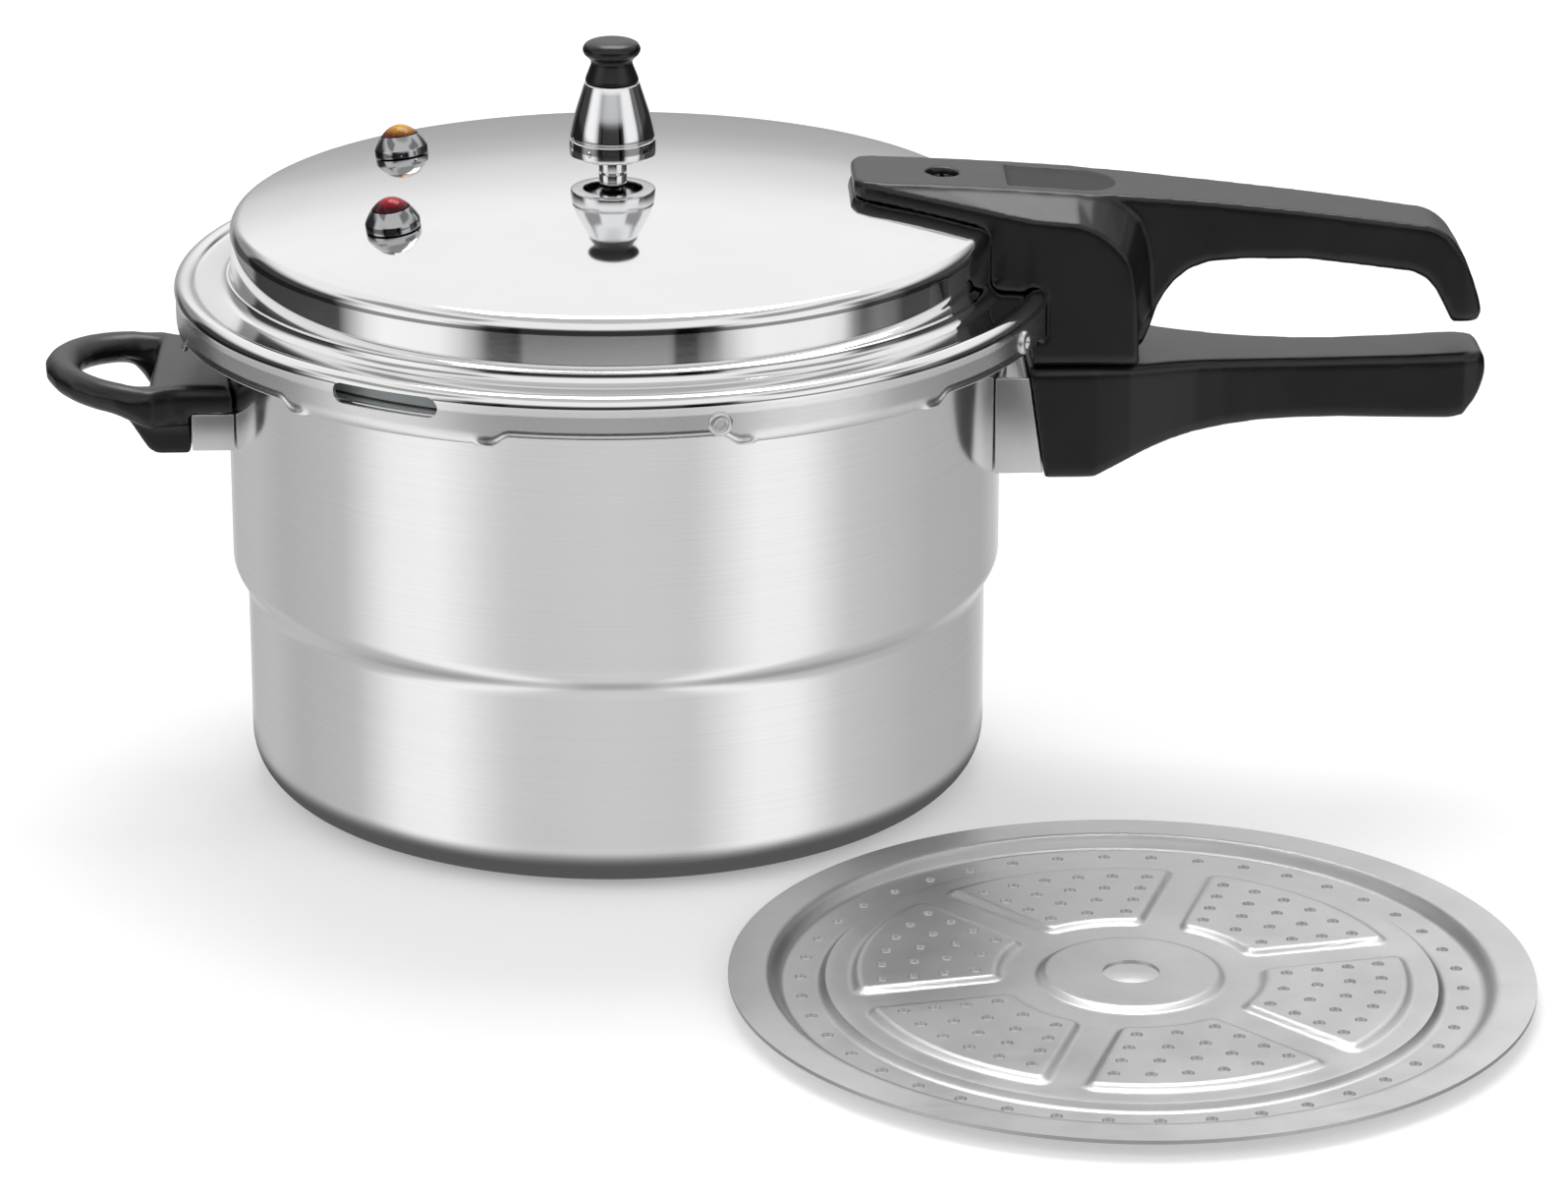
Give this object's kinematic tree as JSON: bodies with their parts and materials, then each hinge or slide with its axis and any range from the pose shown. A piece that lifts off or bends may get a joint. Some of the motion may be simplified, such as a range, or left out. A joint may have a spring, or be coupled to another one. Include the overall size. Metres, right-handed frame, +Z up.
{
  "type": "pressure cooker",
  "caption": "Stovetop aluminium pressure cooker with a bayonet lid, long twin handles, a helper handle, a pressure weight, two valves and a loose steam plate.",
  "frame": {"origin": "centre of the pot's flat base, on the table", "axes": "+Z up; +X along the two long handles; the picture looks along +Y"},
  "size_m": [0.4585, 0.452, 0.2402],
  "materials": {
    "pot_aluminium": "satin, lightly turned",
    "lid_aluminium": "mirror polished",
    "plate_aluminium": "matt, pressed sheet",
    "bracket_aluminium": "satin sheet",
    "black_phenolic": "satin moulding",
    "screw_steel": "zinc plated",
    "black_steel": "blackened",
    "chrome": "mirror bright",
    "silicone": "matt translucent",
    "red_jewel": "clear tinted",
    "amber_jewel": "clear tinted"
  },
  "bodies": {
    "pot": {"pot_body": "pot_aluminium", "pot_handle_bracket": "bracket_aluminium", "pot_handle": "black_phenolic", "pot_handle_screw": "screw_steel", "helper_bracket": "bracket_aluminium", "helper_handle": "black_phenolic", "helper_handle_screw": "screw_steel"},
    "lid": {"lid_shell": "lid_aluminium", "sealing_ring": "silicone", "lid_handle_strap": "bracket_aluminium", "lid_handle": "black_phenolic", "lid_handle_screw": "black_steel", "stop_rivet_1": "bracket_aluminium", "stop_rivet_2": "bracket_aluminium", "vent_pipe": "chrome", "vent_washer": "silicone", "vent_nut": "screw_steel", "vent_filter": "screw_steel", "float_housing": "chrome", "float_washer": "silicone", "float_nut": "screw_steel", "safety_housing": "chrome", "safety_washer": "silicone", "safety_nut": "screw_steel", "safety_plug": "amber_jewel"},
    "weight": {"pressure_weight": "chrome", "weight_knob": "black_phenolic"},
    "float": {"float_jewel": "red_jewel", "float_stem": "screw_steel", "float_seal": "silicone"},
    "plate": {"steam_plate": "plate_aluminium"}
  },
  "joints": [
    {"name": "lid_twist", "type": "hinge", "parent": "pot", "child": "lid", "pos_m": [0, 0, 0.157], "axis": [0, 0, 1], "range_deg": [0, 30]},
    {"name": "weight_lift", "type": "slide", "parent": "lid", "child": "weight", "axis": [0, 0, 1], "range_m": [0, 0.03]},
    {"name": "float_rise", "type": "slide", "parent": "lid", "child": "float", "axis": [-0.117, -0.0731, 0.9904], "range_m": [0, 0.004]},
    {"name": "plate_lift", "type": "slide", "parent": "pot", "child": "plate", "axis": [0, 0, 1], "range_m": [0, 0.1]}
  ]
}
